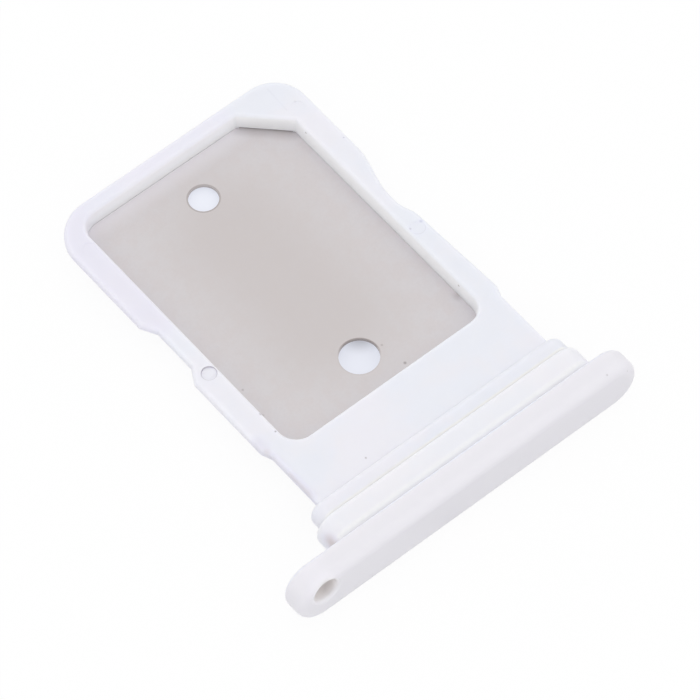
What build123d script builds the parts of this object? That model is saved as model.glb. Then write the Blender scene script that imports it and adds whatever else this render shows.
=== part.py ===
from build123d import *
import os

# A phone's slide-in card tray: a white moulded frame with a cap bar at its front, a thin steel
# floor moulded into the frame, and a rubber seal in the groove behind the cap bar.
# Lengths are in millimetres. The pieces are drawn from one datum: the middle of the pocket's
# front edge, on the deck. +X runs along the cap bar, +Y goes into the phone, +Z is up.

# Card pocket
card_length = 12.3
card_width = 8.8
card_clearance = 0.075
pocket_depth = 0.75
key_leg = 1.58
key_radius = 0.12
key_relief_height = 0.06
key_relief_depth = 0.4
pocket_radius = 0.78
pocket_mouth = 0.13
pocket_draft = 4
key_angle = 45

# Deck: the thin plate of plastic whose rims run in the phone's guides
deck_thickness = 0.45
deck_half_width = 5.48
deck_edge_radius = 0.17
deck_lower_chamfer = 0.16
tip_rim = 0.6
tip_radius_detent = 1.7
tip_radius_wave = 1.42

# Shelf: the closed deck between the pocket and the flange
shelf_length = 2.37
shelf_half_width = 5.3
shelf_step_start = 0.15
shelf_step_run = 0.45

# Detent notch on the -X rim
detent_centre = 5.94
detent_floor = 1.92
detent_ramp = 0.62
detent_depth = 0.35
detent_radius = 0.22

# Wave notch on the +X rim
wave_floor_start = 5.75
wave_floor_end = 6.15
wave_depth = 0.45
wave_run_in = 0.95
wave_run_out = 2.35
wave_rim_front_half_width = 5.46
wave_rim_taper = 0.19

# Body: the narrower wall below the deck that holds the floor plate
body_wall = 0.4
body_corner_radius = 1.2
body_chamfer = 0.08
floor_lip_thickness = 0.1
floor_lip_overlap = 0.2

# Floor plate
plate_thickness = 0.12
plate_grip = 0.2
plate_corner_radius = 0.6
plate_edge_clearance = 0.01
front_hole_radius = 0.755
front_hole_from_pocket_front = 1.78
tip_hole_radius = 0.575
tip_hole_from_pocket_front = 10.73

# Ejector marks: round witness marks of the mould's pins on the rims, one of them sunk deeper
mark_radius = 0.3
mark_depth = 0.012
sunk_mark_depth = 0.05
mark_offset = 4.85
mark_front = 4.3
mark_tip = 11.23

# Cross bars at the front, all on one axis below the deck
axis_drop = 0.42
neck_offset = -0.07
neck_length = 11.06
neck_height = 0.68
flange_offset = 0.01
flange_step = 0.23
flange_thickness = 0.75
flange_back_radius = 0.28
cap_length = 15.5
cap_height = 2.19
cap_thickness = 1.12
cap_offset = -0.72
cap_back_radius = 0.28
cap_front_radius = 0.38

# Seal ring
seal_wall = 0.46
seal_width = 1.15
seal_back_radius = 0.24
seal_front_radius = 0.3
seal_neck_clearance = 0.01

# Eject hole through the cap bar
eject_radius = 0.52
eject_rim = 0.1
eject_from_cap_end = 1.15
eject_above_axis = 0.4

# Sizes worked out from the driving dimensions
pocket_length = card_length + 2 * card_clearance
pocket_width = card_width + 2 * card_clearance
flange_length = neck_length + 2 * flange_step
flange_height = neck_height + 2 * flange_step
seal_length = neck_length + 2 * (seal_neck_clearance + seal_wall)
seal_height = neck_height + 2 * (seal_neck_clearance + seal_wall)
body_thickness = pocket_depth + plate_thickness + floor_lip_thickness
mouth_top = pocket_mouth / 50
tip_y = pocket_length + tip_rim
flange_back_y = -shelf_length
flange_front_y = flange_back_y - flange_thickness
cap_back_y = flange_front_y - seal_width
cap_front_y = cap_back_y - cap_thickness
eject_x = cap_offset - cap_length / 2 + eject_from_cap_end
eject_z = eject_above_axis - axis_drop

# Place of the datum in the part's own frame, whose origin is under the middle of the whole tray
datum = Location((-cap_offset, -(tip_y + cap_front_y) / 2, axis_drop + cap_height / 2))


def cross_bar(length, height, back_y, thickness, centre_x):
    """A bar with fully rounded ends across the tray, from back_y towards the front."""
    face = Plane(origin=(centre_x, back_y, -axis_drop), x_dir=(1, 0, 0), z_dir=(0, -1, 0))
    return extrude(face * SlotOverall(length, height), thickness)


def round_back(bar, radius):
    """Rounds the outline of a cross bar that faces the tray's tip."""
    return fillet(bar.edges().group_by(Axis.Y)[-1], radius)


def round_front(bar, radius):
    """Rounds the outline of a cross bar that faces the user."""
    return fillet(bar.edges().group_by(Axis.Y)[0], radius)


def deck_outline():
    """The deck seen from above: plain tip, a trapezoid detent on -X and a soft wave on +X."""
    half_floor = detent_floor / 2
    half_mouth = half_floor + detent_ramp
    step_end = shelf_step_start + shelf_step_run
    front_y = flange_back_y - flange_thickness / 2
    wave_floor_x = deck_half_width - wave_depth
    wave_start = wave_floor_start - wave_run_in
    wave_end = wave_floor_end + wave_run_out
    wave_start_x = wave_rim_front_half_width - wave_rim_taper
    wave_slope = -wave_rim_taper / (wave_start - step_end)
    detent_side = [
        (-deck_half_width, tip_y),
        (-deck_half_width, detent_centre + half_mouth),
        (detent_depth - deck_half_width, detent_centre + half_floor),
        (detent_depth - deck_half_width, detent_centre - half_floor),
        (-deck_half_width, detent_centre - half_mouth),
        (-deck_half_width, step_end),
        (-shelf_half_width, shelf_step_start),
        (-shelf_half_width, front_y),
    ]
    wave_side = [
        (shelf_half_width, front_y),
        (shelf_half_width, shelf_step_start),
        (wave_rim_front_half_width, step_end),
        (wave_start_x, wave_start),
    ]
    with BuildSketch() as sketch:
        with BuildLine():
            Polyline(*detent_side, *wave_side)
            Bezier(
                (wave_start_x, wave_start),
                (wave_start_x + wave_slope * wave_run_in / 3, wave_start + wave_run_in / 3),
                (wave_floor_x, wave_floor_start - wave_run_in / 3),
                (wave_floor_x, wave_floor_start),
            )
            Line((wave_floor_x, wave_floor_start), (wave_floor_x, wave_floor_end))
            Bezier(
                (wave_floor_x, wave_floor_end),
                (wave_floor_x, wave_floor_end + wave_run_out / 3),
                (deck_half_width, wave_end - wave_run_out / 3),
                (deck_half_width, wave_end),
            )
            Polyline((deck_half_width, wave_end), (deck_half_width, tip_y), (-deck_half_width, tip_y))
        make_face()
        tip_corners = sketch.vertices().group_by(Axis.Y)[-1].sort_by(Axis.X)
        fillet(tip_corners[0], tip_radius_detent)
        tip_corner = sketch.vertices().group_by(Axis.Y)[-1].sort_by(Axis.X)[-1]
        fillet(tip_corner, tip_radius_wave)
        rim = sketch.vertices().filter_by_position(Axis.X, -deck_half_width, -shelf_half_width)
        soft = rim.filter_by_position(Axis.Y, shelf_step_start, detent_centre + half_mouth)
        fillet(soft, detent_radius)
        step = sketch.vertices().filter_by_position(Axis.Y, shelf_step_start, step_end)
        fillet(step.filter_by(lambda vertex: vertex.X > 0), detent_radius)
    return sketch.sketch


def pocket_outline(inset=0):
    """The card's own outline with its running room, one corner cut off as the card's key."""
    half_width = pocket_width / 2 - inset
    near = inset
    far = pocket_length - inset
    leg = key_leg - inset * (2 - 2 ** 0.5)
    corners = Polyline(
        (-half_width, near),
        (half_width, near),
        (half_width, far - leg),
        (half_width - leg, far),
        (-half_width, far),
        close=True,
    )
    outline = make_face(corners)
    radii = [
        ((-half_width, near), pocket_radius),
        ((half_width, near), pocket_radius),
        ((half_width, far - leg), key_radius),
        ((half_width - leg, far), key_radius),
        ((-half_width, far), pocket_radius),
    ]
    for place, radius in radii:
        outline = fillet(outline.vertices().sort_by_distance(place)[0], radius)
    return outline


def make_pocket():
    """The card's room in the frame: drafted walls and a mouth rounded all round."""
    outline = Pos(0, 0, mouth_top) * pocket_outline()
    room = extrude(outline, -(mouth_top + pocket_depth), taper=pocket_draft)
    room += extrude(offset(outline, 2 * pocket_mouth), pocket_mouth)
    brim = room.faces().filter_by(Axis.Z).sort_by(Axis.Z)[1]
    return fillet(brim.inner_wires()[0].edges(), pocket_mouth)


def make_key_relief():
    """The low gap left above the plate under the slanted key wall."""
    length = key_leg * 2 ** 0.5 - 2 * key_radius
    middle = Pos(pocket_width / 2 - key_leg / 2, pocket_length - key_leg / 2, -pocket_depth)
    upwards = (Align.CENTER, Align.CENTER, Align.MIN)
    gap = Box(length, 2 * key_relief_depth, key_relief_height, align=upwards)
    return middle * Rot(0, 0, -key_angle) * gap


def plate_outline(margin):
    """The floor plate's rectangle, grown by a margin on every side."""
    grip = plate_grip + margin
    middle = Pos(0, pocket_length / 2)
    return middle * RectangleRounded(
        pocket_width + 2 * grip, pocket_length + 2 * grip, plate_corner_radius + margin
    )


def make_body():
    """The narrower wall under the deck, from the flange to just short of the tip."""
    front_y = flange_back_y - flange_thickness / 2
    back_y = pocket_length + body_wall
    outline = Pos(0, (front_y + back_y) / 2) * RectangleRounded(
        pocket_width + 2 * body_wall, back_y - front_y, body_corner_radius
    )
    body = extrude(Pos(0, 0, -body_thickness) * outline, body_thickness - deck_thickness / 2)
    return chamfer(body.faces().sort_by(Axis.Z)[0].edges(), body_chamfer)


def make_deck():
    """The deck slab, its rim rounded above and chamfered below."""
    deck = extrude(Pos(0, 0, -deck_thickness) * deck_outline(), deck_thickness)
    deck = chamfer(deck.faces().sort_by(Axis.Z)[0].edges(), deck_lower_chamfer)
    return fillet(deck.faces().sort_by(Axis.Z)[-1].edges(), deck_edge_radius)


def make_eject_hole():
    """The eject pin's hole through the cap bar, with its rim opened a little at the front."""
    mouth = Plane(origin=(eject_x, cap_front_y, eject_z), x_dir=(1, 0, 0), z_dir=(0, 1, 0))
    bore = extrude(mouth * Circle(eject_radius), cap_thickness)
    rim = mouth * Pos(0, 0, eject_rim / 2) * Cone(eject_radius + eject_rim, eject_radius, eject_rim)
    return bore + rim


def make_marks():
    """The round marks that the mould's ejector pins leave on both rims."""
    marks = [
        (-mark_offset, mark_front, sunk_mark_depth),
        (-mark_offset, mark_tip, mark_depth),
        (mark_offset, mark_front, mark_depth),
        (mark_offset, mark_tip, mark_depth),
    ]
    return [Pos(x, y, -depth / 2) * Cylinder(mark_radius, depth) for x, y, depth in marks]


def make_tray_frame():
    """Deck, body, flange, neck and cap bar in one moulding, with the pocket sunk through it."""
    flange = cross_bar(flange_length, flange_height, flange_back_y, flange_thickness, flange_offset)
    flange = round_back(flange, flange_back_radius)
    neck_start = flange_front_y + flange_thickness / 2
    neck_reach = flange_thickness / 2 + seal_width + cap_thickness / 2
    neck = cross_bar(neck_length, neck_height, neck_start, neck_reach, neck_offset)
    cap = cross_bar(cap_length, cap_height, cap_back_y, cap_thickness, cap_offset)
    cap = round_front(round_back(cap, cap_back_radius), cap_front_radius)
    frame = make_deck() + make_body() + flange + neck + cap
    frame -= make_pocket()
    frame -= make_key_relief()
    slot_floor = -(pocket_depth + plate_thickness)
    frame -= extrude(Pos(0, 0, slot_floor) * plate_outline(plate_edge_clearance), plate_thickness)
    frame -= extrude(Pos(0, 0, slot_floor) * pocket_outline(floor_lip_overlap), -floor_lip_thickness)
    return frame - make_eject_hole() - make_marks()


def make_floor_plate():
    """The punched steel floor, its edges held in the frame and two round holes on its middle line."""
    slot_floor = -(pocket_depth + plate_thickness)
    outline = plate_outline(0)
    outline -= Pos(0, front_hole_from_pocket_front) * Circle(front_hole_radius)
    outline -= Pos(0, tip_hole_from_pocket_front) * Circle(tip_hole_radius)
    return extrude(Pos(0, 0, slot_floor) * outline, plate_thickness)


def make_seal_ring():
    """The crowned rubber ring that fills the groove between the flange and the cap bar."""
    ring = cross_bar(seal_length, seal_height, flange_front_y, seal_width, neck_offset)
    ring = round_front(round_back(ring, seal_back_radius), seal_front_radius)
    hole_length = neck_length + 2 * seal_neck_clearance
    hole_height = neck_height + 2 * seal_neck_clearance
    return ring - cross_bar(hole_length, hole_height, flange_front_y, seal_width, neck_offset)


os.makedirs("parts", exist_ok=True)
pieces = {
    "tray_frame": make_tray_frame(),
    "floor_plate": make_floor_plate(),
    "seal_ring": make_seal_ring(),
}
for name, piece in pieces.items():
    export_step(datum * piece, f"parts/{name}.step")
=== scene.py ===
import math
import bpy
from mathutils import Matrix, Vector

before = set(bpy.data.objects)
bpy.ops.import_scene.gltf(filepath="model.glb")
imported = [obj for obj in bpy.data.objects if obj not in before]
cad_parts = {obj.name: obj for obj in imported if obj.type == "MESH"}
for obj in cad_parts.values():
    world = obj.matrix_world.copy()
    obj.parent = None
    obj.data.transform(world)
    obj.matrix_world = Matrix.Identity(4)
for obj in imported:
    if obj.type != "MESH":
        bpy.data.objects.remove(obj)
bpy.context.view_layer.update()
MM = 0.001


# Floor plate
# A punched sheet of thin stainless steel, laid into the mould before the plastic is shot around
# its edges. Dull as it comes from the rolling mill, with a cloudy, faintly reddish grey surface.

STEEL_GREY = (0.68, 0.652, 0.662, 1.0)
STEEL_RED = (0.675, 0.637, 0.642, 1.0)
STEEL_WARM = (0.6, 0.556, 0.55, 1.0)
STEEL_PAINTED_LIGHT = (0.85, 0.82, 0.84, 1.0)
STEEL_GRIME_AND_SHADE = (0.3, 0.26, 0.25, 1.0)
PLATE_TOP = 0.765
FRONT_HOLE = (0.72, -2.05, PLATE_TOP)
TIP_HOLE = (0.72, 6.9, PLATE_TOP)
HOLE_FAR_SIDE = (0.636, 0.772, 0.0)


def socket(group, name, way, kind, value=None):
    """Adds one named socket to a node group's face."""
    made = group.interface.new_socket(name=name, in_out=way, socket_type=kind)
    if value is not None:
        made.default_value = value
    return made


def feed(tree, given, place):
    """Sets an input to a number or colour, or links another node's output to it."""
    if isinstance(given, bpy.types.NodeSocket):
        tree.links.new(given, place)
    else:
        place.default_value = given


def wire(tree, kind, operation, *values):
    """Adds a maths node: each value is a number, a vector or another node's output."""
    node = tree.nodes.new(kind)
    node.operation = operation
    for place, value in zip(node.inputs, values):
        feed(tree, value, place)
    return node.outputs["Value" if operation in ("DOT_PRODUCT", "LENGTH", "DISTANCE") else 0]


def maths(tree, operation, *values):
    """Adds a maths node for plain numbers."""
    return wire(tree, "ShaderNodeMath", operation, *values)


def vectors(tree, operation, *values):
    """Adds a maths node for vectors."""
    return wire(tree, "ShaderNodeVectorMath", operation, *values)


def blend(tree, share, first, second):
    """Adds a colour mix: each colour is written or is another node's output."""
    node = tree.nodes.new("ShaderNodeMix")
    node.data_type = "RGBA"
    for name, given in (("Factor", share), ("A", first), ("B", second)):
        feed(tree, given, node.inputs[name])
    return node.outputs["Result"]


def fade(tree, value, near, far, at_near=1.0, at_far=0.0):
    """Adds a smooth change from one value at near to another at far: by default from 1 to 0."""
    node = tree.nodes.new("ShaderNodeMapRange")
    node.interpolation_type = "SMOOTHSTEP"
    names = ("Value", "From Min", "From Max", "To Min", "To Max")
    for name, given in zip(names, (value, near, far, at_near, at_far)):
        feed(tree, given, node.inputs[name])
    return node.outputs["Result"]


def times(tree, vector, factor):
    """Adds a vector or colour times a number."""
    node = tree.nodes.new("ShaderNodeVectorMath")
    node.operation = "SCALE"
    feed(tree, vector, node.inputs[0])
    feed(tree, factor, node.inputs["Scale"])
    return node.outputs["Vector"]


CLOUD_NONE = 0.38
CLOUD_FULL = 0.62
CLOUD_DETAIL = 3.0
GRAIN_MIDDLE = 0.5
GRAIN_DETAIL = 2.0


def make_surface_tone():
    """Node group: slow clouds of a second tint and fine grain, as a colour and as a height."""
    group = bpy.data.node_groups.new("surface_tone", "ShaderNodeTree")
    socket(group, "Base", "INPUT", "NodeSocketColor", (0.8, 0.8, 0.8, 1.0))
    socket(group, "Cloud Tint", "INPUT", "NodeSocketColor", (0.8, 0.8, 0.8, 1.0))
    socket(group, "Cloud Size", "INPUT", "NodeSocketFloat", 1.0 * MM)
    socket(group, "Grain Size", "INPUT", "NodeSocketFloat", 0.1 * MM)
    socket(group, "Grain Amount", "INPUT", "NodeSocketFloat", 0.01)
    socket(group, "Color", "OUTPUT", "NodeSocketColor")
    socket(group, "Height", "OUTPUT", "NodeSocketFloat")
    face = group.nodes.new("NodeGroupInput")
    out = group.nodes.new("NodeGroupOutput")
    place = group.nodes.new("ShaderNodeTexCoord")

    def layer(size_name, detail):
        noise = group.nodes.new("ShaderNodeTexNoise")
        noise.inputs["Detail"].default_value = detail
        group.links.new(place.outputs["Object"], noise.inputs["Vector"])
        scale = maths(group, "DIVIDE", 1.0, face.outputs[size_name])
        group.links.new(scale, noise.inputs["Scale"])
        return noise.outputs["Fac"]

    cloud = layer("Cloud Size", CLOUD_DETAIL)
    grain = layer("Grain Size", GRAIN_DETAIL)
    clouded = fade(group, cloud, CLOUD_FULL, CLOUD_NONE)
    tinted = blend(group, clouded, face.outputs["Base"], face.outputs["Cloud Tint"])
    swing = maths(group, "SUBTRACT", grain, GRAIN_MIDDLE)
    swing = maths(group, "MULTIPLY", swing, face.outputs["Grain Amount"])
    grained = times(group, tinted, maths(group, "ADD", 1.0, swing))
    group.links.new(grained, out.inputs["Color"])
    group.links.new(grain, out.inputs["Height"])
    return group


def make_stain_and_shading():
    """Node group: a colour around a short line on the surface, full on the line and fading outwards; used
    for grime and for painted light and shade.
    """
    group = bpy.data.node_groups.new("stain_and_shading", "ShaderNodeTree")
    socket(group, "Color", "INPUT", "NodeSocketColor", (0.8, 0.8, 0.8, 1.0))
    socket(group, "Start", "INPUT", "NodeSocketVector")
    socket(group, "End", "INPUT", "NodeSocketVector")
    socket(group, "Core", "INPUT", "NodeSocketFloat", 0.0)
    socket(group, "Reach", "INPUT", "NodeSocketFloat", 0.1 * MM)
    socket(group, "Dirt And Shading", "INPUT", "NodeSocketColor", (0.1, 0.1, 0.1, 1.0))
    socket(group, "Amount", "INPUT", "NodeSocketFloat", 1.0)
    socket(group, "Color", "OUTPUT", "NodeSocketColor")
    face = group.nodes.new("NodeGroupInput")
    out = group.nodes.new("NodeGroupOutput")
    place = group.nodes.new("ShaderNodeTexCoord")
    along = vectors(group, "SUBTRACT", face.outputs["End"], face.outputs["Start"])
    offset = vectors(group, "SUBTRACT", place.outputs["Object"], face.outputs["Start"])
    covered = vectors(group, "DOT_PRODUCT", offset, along)
    length_squared = vectors(group, "DOT_PRODUCT", along, along)
    share = maths(group, "DIVIDE", covered, length_squared)
    share.node.use_clamp = True
    away = vectors(group, "DISTANCE", offset, times(group, along, share))
    mask = fade(group, away, face.outputs["Core"], face.outputs["Reach"])
    mask = maths(group, "MULTIPLY", mask, face.outputs["Amount"])
    group.links.new(blend(group, mask, face.outputs["Color"], face.outputs["Dirt And Shading"]), out.inputs["Color"])
    return group


surface_tone = make_surface_tone()
stain_and_shading = make_stain_and_shading()


def place_group(tree, group, values):
    """Puts a node group into a material's tree with values of its own."""
    node = tree.nodes.new("ShaderNodeGroup")
    node.node_tree = group
    for name, value in values.items():
        node.inputs[name].default_value = value
    return node


def finish(name, tone_values, roughness, metallic, bump_strength, bump_depth):
    """A surface with clouds of a second tint and a fine grain that is felt as well as seen."""
    material = bpy.data.materials.new(name)
    material.use_nodes = True
    tree = material.node_tree
    shader = tree.nodes["Principled BSDF"]
    shader.inputs["Roughness"].default_value = roughness
    shader.inputs["Metallic"].default_value = metallic
    tone = place_group(tree, surface_tone, tone_values)
    raised = tree.nodes.new("ShaderNodeBump")
    raised.inputs["Strength"].default_value = bump_strength
    raised.inputs["Distance"].default_value = bump_depth
    tree.links.new(tone.outputs["Color"], shader.inputs["Base Color"])
    tree.links.new(tone.outputs["Height"], raised.inputs["Height"])
    tree.links.new(raised.outputs["Normal"], shader.inputs["Normal"])
    return material


def recolour(material, node):
    """Puts a node with Color in and out last in the chain of a material's base colour."""
    tree = material.node_tree
    place = tree.nodes["Principled BSDF"].inputs["Base Color"]
    tree.links.new(place.links[0].from_socket, node.inputs["Color"])
    tree.links.new(node.outputs["Color"], place)


def soil_and_shading(material, start, end, core, reach, dirt_and_shading, amount):
    """Lays one patch of grime, painted light or painted shade on a material. Places and sizes are in
    millimetres in the part's frame.
    """
    recolour(material, place_group(material.node_tree, stain_and_shading, {
        "Start": Vector(start) * MM,
        "End": Vector(end) * MM,
        "Core": core * MM,
        "Reach": reach * MM,
        "Dirt And Shading": dirt_and_shading,
        "Amount": amount,
    }))


SPECK_LENGTH = 0.01


def speck(material, place, reach, dirt_and_shading, amount):
    """Lays one small round spot on a material."""
    end = Vector(place) + Vector((0, SPECK_LENGTH, 0))
    soil_and_shading(material, place, end, 0.0, reach, dirt_and_shading, amount)


RING_FAINT_SIDE = 0.05
RING_DARK_SIDE = 0.75
RING_REACH = 1.5


def make_shaded_ring():
    """Node group: a thin dark line on a round edge, with painted shade darkest towards one side."""
    group = bpy.data.node_groups.new("shaded_ring", "ShaderNodeTree")
    socket(group, "Color", "INPUT", "NodeSocketColor", (0.8, 0.8, 0.8, 1.0))
    socket(group, "Centre", "INPUT", "NodeSocketVector")
    socket(group, "Radius", "INPUT", "NodeSocketFloat", 0.3 * MM)
    socket(group, "Width", "INPUT", "NodeSocketFloat", 0.03 * MM)
    socket(group, "Dark Side", "INPUT", "NodeSocketVector")
    socket(group, "Dirt And Shading", "INPUT", "NodeSocketColor", (0.1, 0.1, 0.1, 1.0))
    socket(group, "Dark Amount", "INPUT", "NodeSocketFloat", 1.0)
    socket(group, "Faint Amount", "INPUT", "NodeSocketFloat", 0.2)
    socket(group, "Color", "OUTPUT", "NodeSocketColor")
    face = group.nodes.new("NodeGroupInput")
    out = group.nodes.new("NodeGroupOutput")
    place = group.nodes.new("ShaderNodeTexCoord")
    offset = vectors(group, "SUBTRACT", place.outputs["Object"], face.outputs["Centre"])
    flat = vectors(group, "MULTIPLY", offset, (1.0, 1.0, 0.0))
    radius = vectors(group, "LENGTH", flat)
    gap = maths(group, "SUBTRACT", radius, face.outputs["Radius"])
    gap = maths(group, "ABSOLUTE", gap)
    line = fade(group, gap, 0.0, face.outputs["Width"])
    way = vectors(group, "NORMALIZE", flat)
    side = vectors(group, "DOT_PRODUCT", way, face.outputs["Dark Side"])
    amount = fade(
        group, side, RING_FAINT_SIDE, RING_DARK_SIDE,
        face.outputs["Faint Amount"], face.outputs["Dark Amount"],
    )
    reach = maths(group, "MULTIPLY", face.outputs["Radius"], RING_REACH)
    near = maths(group, "LESS_THAN", vectors(group, "LENGTH", offset), reach)
    mask = maths(group, "MULTIPLY", line, amount)
    mask = maths(group, "MULTIPLY", mask, near)
    group.links.new(blend(group, mask, face.outputs["Color"], face.outputs["Dirt And Shading"]), out.inputs["Color"])
    return group


shaded_ring = make_shaded_ring()


def mark(material, place, radius, width, dark_side, dirt_and_shading, dark_amount, faint_amount):
    """Draws the dark edge of one round hole or round mark, with painted shade towards one side. Place and
    sizes are in millimetres.
    """
    recolour(material, place_group(material.node_tree, shaded_ring, {
        "Centre": Vector(place) * MM,
        "Radius": radius * MM,
        "Width": width * MM,
        "Dark Side": dark_side,
        "Dirt And Shading": dirt_and_shading,
        "Dark Amount": dark_amount,
        "Faint Amount": faint_amount,
    }))


def dress(node, material):
    """Gives a whole node one material."""
    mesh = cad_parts[node].data
    mesh.materials.clear()
    mesh.materials.append(material)


rolled_steel = finish(
    "rolled_steel",
    {
        "Base": STEEL_GREY, "Cloud Tint": STEEL_RED, "Cloud Size": 0.5 * MM,
        "Grain Size": 0.1 * MM, "Grain Amount": 0.06,
    },
    roughness=0.55, metallic=0.3, bump_strength=0.25, bump_depth=0.004 * MM,
)

# The plate is warm in its middle and pale under the tip wall as painted light, and has a dark band
# of painted shade with a pale line of painted light under the slanted wall.
soil_and_shading(rolled_steel, (0.7, 0.0, PLATE_TOP), (0.7, 5.0, PLATE_TOP), 0.5, 4.5, STEEL_WARM, 0.8)
soil_and_shading(rolled_steel, (-3.3, 8.6, PLATE_TOP), (3.4, 8.6, PLATE_TOP), 0.0, 0.9, STEEL_PAINTED_LIGHT, 0.7)
soil_and_shading(rolled_steel, (3.7, 8.5, PLATE_TOP), (5.1, 7.1, PLATE_TOP), 0.05, 0.5, STEEL_GRIME_AND_SHADE, 0.35)
soil_and_shading(rolled_steel, (3.8, 8.64, PLATE_TOP), (5.22, 7.22, PLATE_TOP), 0.06, 0.14, STEEL_PAINTED_LIGHT, 1.0)

# Specks, and the dark edges of the two holes, with painted shade strongest on their far side.
speck(rolled_steel, (-3.37, -0.47, PLATE_TOP), 0.07, STEEL_GRIME_AND_SHADE, 0.5)
speck(rolled_steel, (-3.49, -1.77, PLATE_TOP), 0.07, STEEL_GRIME_AND_SHADE, 0.35)
speck(rolled_steel, (1.8, -3.32, PLATE_TOP), 0.09, STEEL_GRIME_AND_SHADE, 0.8)
speck(rolled_steel, (1.65, -2.2, PLATE_TOP), 0.07, STEEL_GRIME_AND_SHADE, 0.5)
speck(rolled_steel, (5.09, -2.34, PLATE_TOP), 0.3, STEEL_GRIME_AND_SHADE, 0.3)
mark(rolled_steel, FRONT_HOLE, 0.77, 0.05, HOLE_FAR_SIDE, STEEL_GRIME_AND_SHADE, 0.9, 0.1)
mark(rolled_steel, TIP_HOLE, 0.6, 0.055, HOLE_FAR_SIDE, STEEL_GRIME_AND_SHADE, 0.62, 0.55)
dress("floor_plate", rolled_steel)


# Tray frame
# Deck, body, flange and cap bar in one shot of milky white plastic with the satin face of an
# etched mould. The cap bar has a warmer coat on its outside, and handling has left dark specks.

PLASTIC_WHITE = (0.868, 0.86, 0.945, 1.0)
PLASTIC_BLUE = (0.842, 0.856, 0.99, 1.0)
PLASTIC_LILAC_SHADE = (0.835, 0.82, 0.9, 1.0)
PLASTIC_PAINTED_LIGHT = (0.98, 0.975, 1.0, 1.0)
PLASTIC_DEPTH = 0.15 * MM
WALL_PAINTED_LIGHT = (0.9, 0.908, 1.0, 1.0)
WALL_DEPTH = 0.9 * MM
WALL_MOUTH_Z = 1.5 * MM
WALL_WHITE_Z = 1.35 * MM
WALL_DEEP_Z = 1.2 * MM
WALL_FOOT_Z = 0.85 * MM
POCKET_MIDDLE_X = 0.72 * MM
POCKET_MIDDLE_Y = 2.395 * MM
POCKET_HALF_WIDTH = 4.6 * MM
POCKET_HALF_LENGTH = 6.35 * MM
EJECT_AXIS = Vector((-6.6, 0.0, 1.495)) * MM
EJECT_RADIUS = 0.53 * MM
EJECT_RIM_RADIUS = 0.64 * MM
COAT_WHITE = (0.848, 0.836, 0.878, 1.0)
COAT_START_Y = -8.15 * MM
COAT_FULL_Y = -8.3 * MM
BROWN_GRIME_AND_SHADE = (0.2, 0.16, 0.14, 1.0)
GRIME_BLUE = (0.3, 0.32, 0.42, 1.0)
EDGE_WARM_SHADE = (0.6, 0.52, 0.48, 1.0)
EDGE_GREY_SHADE = (0.74, 0.72, 0.75, 1.0)
EJECT_HOLE_SHADE = (0.62, 0.57, 0.47, 1.0)
DECK_TOP = 1.515
PIN_RADIUS = 0.285
PIN_LINE = 0.026


def glow(material, depth):
    """Lets light spread inside the surface, as it does in milky plastic, to about this depth."""
    shader = material.node_tree.nodes["Principled BSDF"]
    shader.inputs["Subsurface Weight"].default_value = 1.0
    shader.inputs["Subsurface Radius"].default_value = (1.0, 1.0, 1.0)
    shader.inputs["Subsurface Scale"].default_value = depth


white_plastic = finish(
    "white_plastic",
    {
        "Base": PLASTIC_WHITE, "Cloud Tint": PLASTIC_BLUE, "Cloud Size": 3.0 * MM,
        "Grain Size": 0.1 * MM, "Grain Amount": 0.012,
    },
    roughness=0.45, metallic=0.0, bump_strength=0.2, bump_depth=0.003 * MM,
)
glow(white_plastic, PLASTIC_DEPTH)

# Light comes through the thin rims into the pocket's walls and through the cap bar into the hole.
tree = white_plastic.node_tree
shader = tree.nodes["Principled BSDF"]
place = tree.nodes.new("ShaderNodeTexCoord")
axes = tree.nodes.new("ShaderNodeSeparateXYZ")
tree.links.new(place.outputs["Object"], axes.inputs["Vector"])
within_width = maths(tree, "COMPARE", axes.outputs["X"], POCKET_MIDDLE_X, POCKET_HALF_WIDTH)
within_length = maths(tree, "COMPARE", axes.outputs["Y"], POCKET_MIDDLE_Y, POCKET_HALF_LENGTH)
below_mouth = fade(tree, axes.outputs["Z"], WALL_WHITE_Z, WALL_MOUTH_Z)
walls = maths(tree, "MULTIPLY", maths(tree, "MULTIPLY", within_width, within_length), below_mouth)
above_foot = fade(tree, axes.outputs["Z"], WALL_DEEP_Z, WALL_FOOT_Z)
from_axis = vectors(tree, "SUBTRACT", place.outputs["Object"], EJECT_AXIS)
from_axis = vectors(tree, "MULTIPLY", from_axis, (1.0, 0.0, 1.0))
hole = fade(tree, vectors(tree, "LENGTH", from_axis), EJECT_RADIUS, EJECT_RIM_RADIUS)
lit_through = maths(tree, "MAXIMUM", maths(tree, "MULTIPLY", walls, above_foot), hole)
depth = maths(tree, "MULTIPLY_ADD", lit_through, WALL_DEPTH - PLASTIC_DEPTH, PLASTIC_DEPTH)
tree.links.new(depth, shader.inputs["Subsurface Scale"])

# The pocket's walls are painted whiter than the deck as painted light, and the cap bar has its coat.
toned = shader.inputs["Base Color"].links[0].from_socket
toned = blend(tree, walls, toned, WALL_PAINTED_LIGHT)
coated = fade(tree, axes.outputs["Y"], COAT_FULL_Y, COAT_START_Y)
tree.links.new(blend(tree, coated, toned, COAT_WHITE), shader.inputs["Base Color"])

# A thin dark line round the sunk marks of the mould's ejector pins, with painted shade on their far side.
for x, y, dark_side, dark_amount, faint_amount in (
    (-4.12, 0.48, (0.505, 0.863, 0.0), 0.45, 0.35),
    (-4.1, 7.36, (0.7, 0.7, 0.0), 0.2, 0.1),
    (5.57, 0.5, (0.0, -1.0, 0.0), 0.12, 0.02),
):
    pin_place = (x, y, DECK_TOP)
    mark(white_plastic, pin_place, PIN_RADIUS, PIN_LINE, dark_side, BROWN_GRIME_AND_SHADE, dark_amount, faint_amount)

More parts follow.
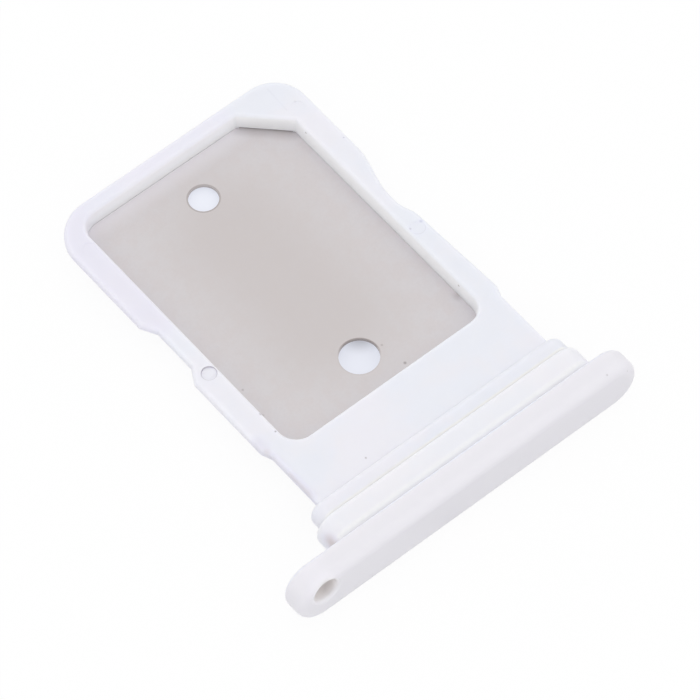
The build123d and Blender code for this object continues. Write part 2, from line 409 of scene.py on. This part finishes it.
# Specks on the deck, on the pocket's walls and on the cap bar.
speck(white_plastic, (-3.79, -2.04, 1.51), 0.08, BROWN_GRIME_AND_SHADE, 0.6)
speck(white_plastic, (-3.85, -2.96, DECK_TOP), 0.06, BROWN_GRIME_AND_SHADE, 0.6)
speck(white_plastic, (-2.1, -5.87, DECK_TOP), 0.06, BROWN_GRIME_AND_SHADE, 0.5)
speck(white_plastic, (-4.28, 7.84, DECK_TOP), 0.07, BROWN_GRIME_AND_SHADE, 0.05)
speck(white_plastic, (-4.17, 8.27, DECK_TOP), 0.07, BROWN_GRIME_AND_SHADE, 0.05)
speck(white_plastic, (5.68, 7.68, DECK_TOP), 0.08, BROWN_GRIME_AND_SHADE, 0.1)
speck(white_plastic, (6.03, 5.28, DECK_TOP), 0.05, GRIME_BLUE, 0.4)
speck(white_plastic, (5.84, 0.63, DECK_TOP), 0.1, GRIME_BLUE, 0.28)
speck(white_plastic, (5.33, 0.62, DECK_TOP), 0.07, BROWN_GRIME_AND_SHADE, 0.28)
speck(white_plastic, (5.18, 6.44, 1.32), 0.07, BROWN_GRIME_AND_SHADE, 0.6)
speck(white_plastic, (5.18, -2.28, 1.28), 0.07, BROWN_GRIME_AND_SHADE, 0.6)
speck(white_plastic, (6.41, -9.01, 2.13), 0.06, BROWN_GRIME_AND_SHADE, 0.4)
speck(white_plastic, (7.22, -9.16, 1.77), 0.05, BROWN_GRIME_AND_SHADE, 0.4)
speck(white_plastic, (-4.58, -9.21, 0.36), 0.05, BROWN_GRIME_AND_SHADE, 0.4)

# Tones of the rims and of the slanted corner. The left and tip rims are a darker lilac as painted shade,
# and a pale line of painted light lifts the shade in the joint between flange and seal.
soil_and_shading(white_plastic, (5.26, 8.76, DECK_TOP), (5.2, 7.58, DECK_TOP), 0.0, 0.06, GRIME_BLUE, 0.06)
soil_and_shading(white_plastic, (-4.3, 8.2, DECK_TOP), (-4.2, 4.0, DECK_TOP), 0.5, 2.0, PLASTIC_LILAC_SHADE, 0.85)
soil_and_shading(white_plastic, (-3.5, 8.95, DECK_TOP), (3.0, 8.95, DECK_TOP), 0.3, 0.8, PLASTIC_LILAC_SHADE, 0.5)
soil_and_shading(white_plastic, (-5.0, -6.93, 1.665), (6.3, -6.93, 1.665), 0.03, 0.16, PLASTIC_PAINTED_LIGHT, 1.0)
soil_and_shading(white_plastic, (4.8, 8.2, DECK_TOP), (5.1, 8.05, DECK_TOP), 0.0, 0.5, PLASTIC_BLUE, 0.6)

# Grey and warm painted shade along the deck's left edge by the flange, and warm painted shade in the eject
# hole, round its bore and low in it.
soil_and_shading(white_plastic, (-4.66, -2.9, 1.4), (-4.6, -5.8, 1.4), 0.0, 0.4, EDGE_GREY_SHADE, 0.6)
soil_and_shading(white_plastic, (-4.58, -4.7, 1.42), (-4.55, -5.65, 1.44), 0.0, 0.22, EDGE_WARM_SHADE, 0.2)
speck(white_plastic, (-4.6, -3.41, 1.48), 0.2, EDGE_WARM_SHADE, 0.2)
soil_and_shading(white_plastic, (-6.6, -8.85, 1.5), (-6.6, -8.1, 1.5), 0.48, 0.68, EJECT_HOLE_SHADE, 0.38)
soil_and_shading(white_plastic, (-6.35, -8.8, 1.08), (-6.4, -8.4, 1.1), 0.0, 0.5, BROWN_GRIME_AND_SHADE, 0.12)
dress("tray_frame", white_plastic)


# Seal ring
# A moulded ring of white silicone, stretched over the cap bar into the groove behind it. It is a
# little smoother and shinier than the plastic, and one end by the cap bar is darkened tan.

SILICONE_WHITE = (0.885, 0.875, 0.935, 1.0)
SILICONE_BLUE = (0.865, 0.87, 0.95, 1.0)
SILICONE_DEPTH = 0.2 * MM
SEAL_END_TAN = (0.56, 0.46, 0.4, 1.0)

white_silicone = finish(
    "white_silicone",
    {
        "Base": SILICONE_WHITE, "Cloud Tint": SILICONE_BLUE, "Cloud Size": 2.0 * MM,
        "Grain Size": 0.12 * MM, "Grain Amount": 0.008,
    },
    roughness=0.32, metallic=0.0, bump_strength=0.1, bump_depth=0.002 * MM,
)
glow(white_silicone, SILICONE_DEPTH)

# Painted light along the edge by the cap bar, lifting the shade of the joint there, and a tan darkening at
# one end.
soil_and_shading(white_silicone, (-4.9, -8.02, 1.8), (6.2, -8.02, 1.8), 0.1, 0.3, PLASTIC_PAINTED_LIGHT, 1.0)
soil_and_shading(white_silicone, (-5.24, -7.68, 1.5), (-5.2, -7.95, 1.45), 0.0, 0.42, SEAL_END_TAN, 0.4)
soil_and_shading(white_silicone, (-5.24, -7.8, 1.5), (-5.2, -7.95, 1.5), 0.0, 0.22, SEAL_END_TAN, 0.2)
dress("seal_ring", white_silicone)


# Studio
# A white sheet that the tray lies on, tilted as the table is under a tray that stands on its cap
# bar and its tip, in a bright even room.

CAP_HEEL_Y = -8.371 * MM
TIP_EDGE_Y = 8.94 * MM
TIP_EDGE_Z = 0.545 * MM
SHEET_SIZE = 0.8
SHEET_WHITE = (0.975, 0.975, 0.98, 1.0)
SHEET_GREY = (0.85, 0.85, 0.86, 1.0)
SHEET_GLOW = 0.92
SHADE_GLOW = 0.7
SHADE_BLUE = (0.86, 0.89, 1.0, 1.0)
SHADE_MIDDLE_X = 0.85 * MM
SHADE_MIDDLE_Y = 2.6 * MM
SHADE_HALF_WIDTH = 1.2 * MM
SHADE_HALF_LENGTH = 5.6 * MM
SHADE_BLUR = 1.2 * MM
HOLE_SHADE = (0.3, 0.3, 0.34, 1.0)
HOLE_SHADE_X = 1.55 * MM
HOLE_SHADE_Y = -1.05 * MM
HOLE_SHADE_REACH = 0.95 * MM
HOLE_SHADE_AMOUNT = 0.75
WHITE = (1.0, 1.0, 1.0, 1.0)

sheet_mesh = bpy.data.meshes.new("table_sheet")
half = SHEET_SIZE / 2
corners = [(-half, -half, 0), (half, -half, 0), (half, half, 0), (-half, half, 0)]
sheet_mesh.from_pydata(corners, [], [(0, 1, 2, 3)])
sheet = bpy.data.objects.new("table_sheet", sheet_mesh)
bpy.context.scene.collection.objects.link(sheet)
sheet.location = (0, CAP_HEEL_Y, 0)
sheet.rotation_euler = (math.atan2(TIP_EDGE_Z, TIP_EDGE_Y - CAP_HEEL_Y), 0, 0)


def background_rays(tree):
    """1 for rays that show the surroundings: seen by the camera, mirrored in metal or seen through."""
    ray = tree.nodes.new("ShaderNodeLightPath")
    seen_or_mirrored = maths(tree, "MAXIMUM", ray.outputs["Is Camera Ray"], ray.outputs["Is Glossy Ray"])
    return maths(tree, "MAXIMUM", seen_or_mirrored, ray.outputs["Is Transmission Ray"])


def shade_share(tree, axis, middle, half_size):
    """1 within half a size of the middle along one axis, and a soft fall beyond it."""
    away = maths(tree, "ABSOLUTE", maths(tree, "SUBTRACT", axis, middle))
    return fade(tree, away, half_size, half_size + SHADE_BLUR)


# The sheet shows white, and is dim and bluish where it is seen through the floor plate's holes, with a
# painted shadow by the front hole's far edge.
sheet_paper = bpy.data.materials.new("sheet_paper")
sheet_paper.use_nodes = True
tree = sheet_paper.node_tree
paper = tree.nodes["Principled BSDF"]
paper.inputs["Roughness"].default_value = 1.0
paper.inputs["Specular IOR Level"].default_value = 0.0
place = tree.nodes.new("ShaderNodeTexCoord")
axes = tree.nodes.new("ShaderNodeSeparateXYZ")
tree.links.new(place.outputs["Object"], axes.inputs["Vector"])
across = shade_share(tree, axes.outputs["X"], SHADE_MIDDLE_X, SHADE_HALF_WIDTH)
along = shade_share(tree, axes.outputs["Y"], SHADE_MIDDLE_Y - CAP_HEEL_Y, SHADE_HALF_LENGTH)
under_plate = maths(tree, "MULTIPLY", across, along)
shown = background_rays(tree)
white_share = maths(tree, "MAXIMUM", shown, under_plate)
tree.links.new(blend(tree, white_share, SHEET_GREY, SHEET_WHITE), paper.inputs["Base Color"])
shade_start = Vector((HOLE_SHADE_X, HOLE_SHADE_Y - CAP_HEEL_Y, 0.0))
hole_shade = place_group(tree, stain_and_shading, {
    "Start": shade_start,
    "End": shade_start + Vector((SPECK_LENGTH * MM, 0.0, 0.0)),
    "Reach": HOLE_SHADE_REACH,
    "Dirt And Shading": HOLE_SHADE,
    "Amount": HOLE_SHADE_AMOUNT,
})
tree.links.new(blend(tree, under_plate, WHITE, SHADE_BLUE), hole_shade.inputs["Color"])
lit = tree.nodes.new("ShaderNodeEmission")
tree.links.new(hole_shade.outputs["Color"], lit.inputs["Color"])
glow_level = maths(tree, "MULTIPLY_ADD", under_plate, SHADE_GLOW - SHEET_GLOW, SHEET_GLOW)
mixed = tree.nodes.new("ShaderNodeMixShader")
tree.links.new(maths(tree, "MULTIPLY", shown, glow_level), mixed.inputs["Fac"])
tree.links.new(paper.outputs["BSDF"], mixed.inputs[1])
tree.links.new(lit.outputs["Emission"], mixed.inputs[2])
tree.links.new(mixed.outputs["Shader"], tree.nodes["Material Output"].inputs["Surface"])
sheet_mesh.materials.append(sheet_paper)

world = bpy.data.worlds.new("bright_room")
bpy.context.scene.world = world
world.use_nodes = True
room = world.node_tree.nodes["Background"]
room.inputs["Color"].default_value = WHITE
room.inputs["Strength"].default_value = 1.0

CAMERA_TARGET = Vector((0.345, -2.004, 1.515)) * MM
CAMERA_DISTANCE = 214.4 * MM
CAMERA_AZIMUTH = math.radians(-37.665)
CAMERA_ELEVATION = math.radians(57.289)
CAMERA_ROLL = math.radians(-2.032)
SENSOR_WIDTH = 36.0
FOCAL_PIXELS = 6000
PICTURE_PIXELS = 700

back = Vector((
    math.sin(CAMERA_AZIMUTH) * math.cos(CAMERA_ELEVATION),
    -math.cos(CAMERA_AZIMUTH) * math.cos(CAMERA_ELEVATION),
    math.sin(CAMERA_ELEVATION),
))
sideways = Vector((0, 0, 1)).cross(back).normalized()
upright = back.cross(sideways)
right = sideways * math.cos(CAMERA_ROLL) + upright * math.sin(CAMERA_ROLL)
up = upright * math.cos(CAMERA_ROLL) - sideways * math.sin(CAMERA_ROLL)
camera_data = bpy.data.cameras.new("camera")
camera_data.sensor_width = SENSOR_WIDTH
camera_data.lens = SENSOR_WIDTH * FOCAL_PIXELS / PICTURE_PIXELS
camera_data.clip_start = 1 * MM
camera = bpy.data.objects.new("camera", camera_data)
bpy.context.scene.collection.objects.link(camera)
camera.matrix_world = Matrix.Translation(CAMERA_TARGET + back * CAMERA_DISTANCE) @ Matrix(
    (right, up, back)
).transposed().to_4x4()
bpy.context.scene.camera = camera
bpy.context.scene.view_settings.view_transform = "Standard"
